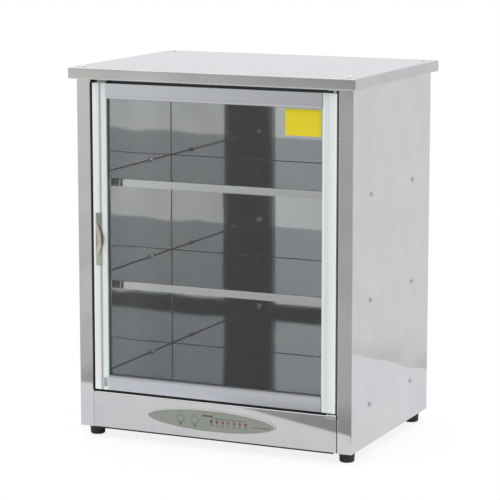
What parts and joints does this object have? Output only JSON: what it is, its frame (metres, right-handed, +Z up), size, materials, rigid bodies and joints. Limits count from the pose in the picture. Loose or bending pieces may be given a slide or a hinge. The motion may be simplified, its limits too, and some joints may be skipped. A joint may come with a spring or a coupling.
{
  "type": "uv sterilizer cabinet",
  "caption": "Polished stainless UV sterilizer cabinet with shelves behind a framed glass door hinged on the right, with a half-moon pull and an oval control panel below.",
  "frame": {"origin": "on the table, under the middle of the overall box", "axes": "+X to the right seen from the front, +Y to the back, +Z up"},
  "size_m": [0.56, 0.416, 0.6843],
  "materials": {
    "polished_stainless": "polished stainless sheet",
    "anodised_aluminium": "pale anodised",
    "clear_glass": "clear float glass",
    "black_rubber": "matt",
    "satin_nickel": "satin nickel plate",
    "zinc_plated_steel": "zinc plate",
    "white_nylon": "moulded",
    "black_plastic": "moulded",
    "grey_overlay_film": "printed film, satin",
    "pale_button_plastic": "moulded",
    "red_lens_acrylic": "translucent",
    "green_board_laminate": "lacquered board",
    "lamp_glass": "clear quartz with metal caps",
    "bright_reflector": "bright rolled sheet"
  },
  "bodies": {
    "cabinet": {"top_panel": "polished_stainless", "left_side_panel": "polished_stainless", "right_side_panel": "polished_stainless", "back_panel": "polished_stainless", "base_plate": "polished_stainless", "ceiling_panel": "polished_stainless", "stop_frame": "polished_stainless", "front_fascia": "polished_stainless", "chamber_floor": "polished_stainless", "lower_shelf": "polished_stainless", "upper_shelf": "polished_stainless", "door_seal": "black_rubber", "front_left_foot": "black_rubber", "front_right_foot": "black_rubber", "rear_left_foot": "black_rubber", "rear_right_foot": "black_rubber", "lower_hinge_bracket": "zinc_plated_steel", "upper_hinge_bracket": "zinc_plated_steel", "lower_hinge_pin": "zinc_plated_steel", "upper_hinge_pin": "zinc_plated_steel", "lamp_ballast": "zinc_plated_steel", "left_front_chamber_floor_screw": "zinc_plated_steel", "right_front_chamber_floor_screw": "zinc_plated_steel", "left_rear_chamber_floor_screw": "zinc_plated_steel", "right_rear_chamber_floor_screw": "zinc_plated_steel", "left_front_lower_shelf_screw": "zinc_plated_steel", "right_front_lower_shelf_screw": "zinc_plated_steel", "left_rear_lower_shelf_screw": "zinc_plated_steel", "right_rear_lower_shelf_screw": "zinc_plated_steel", "left_front_upper_shelf_screw": "zinc_plated_steel", "right_front_upper_shelf_screw": "zinc_plated_steel", "left_rear_upper_shelf_screw": "zinc_plated_steel", "right_rear_upper_shelf_screw": "zinc_plated_steel", "lower_lamp_socket": "white_nylon", "upper_lamp_socket": "white_nylon", "terminal_block": "white_nylon", "magnetic_catch": "black_plastic", "door_switch": "black_plastic", "power_inlet": "black_plastic", "control_overlay": "grey_overlay_film", "indicator_light_bar": "red_lens_acrylic", "control_board": "green_board_laminate", "uv_lamp": "lamp_glass", "lamp_reflector": "bright_reflector"},
    "door": {"door_left_stile": "anodised_aluminium", "door_right_stile": "anodised_aluminium", "door_top_rail": "anodised_aluminium", "door_bottom_rail": "anodised_aluminium", "door_glass": "clear_glass", "glazing_gasket": "black_rubber", "door_handle": "satin_nickel", "catch_strike": "zinc_plated_steel", "lower_hinge_bush": "white_nylon", "upper_hinge_bush": "white_nylon"},
    "power_button": {"power_button": "pale_button_plastic"},
    "timer_button": {"timer_button": "pale_button_plastic"},
    "switch_plunger": {"switch_plunger": "white_nylon"}
  },
  "joints": [
    {"name": "door_hinge", "type": "hinge", "parent": "cabinet", "child": "door", "pos_m": [0.2335, -0.1875, 0.0915], "axis": [0, 0, 1], "range_deg": [0, 110]},
    {"name": "power_button_press", "type": "slide", "parent": "cabinet", "child": "power_button", "axis": [0, 1, 0], "range_m": [0, 0.001], "stiffness_N_per_m": 400},
    {"name": "timer_button_press", "type": "slide", "parent": "cabinet", "child": "timer_button", "axis": [0, 1, 0], "range_m": [0, 0.001], "stiffness_N_per_m": 400},
    {"name": "switch_plunger_slide", "type": "slide", "parent": "cabinet", "child": "switch_plunger", "axis": [0, -1, 0], "range_m": [0, 0.003]}
  ],
  "couplings": [
    {"joint": "switch_plunger_slide", "follows": "door_hinge", "m_per_rad": 0.00156}
  ]
}
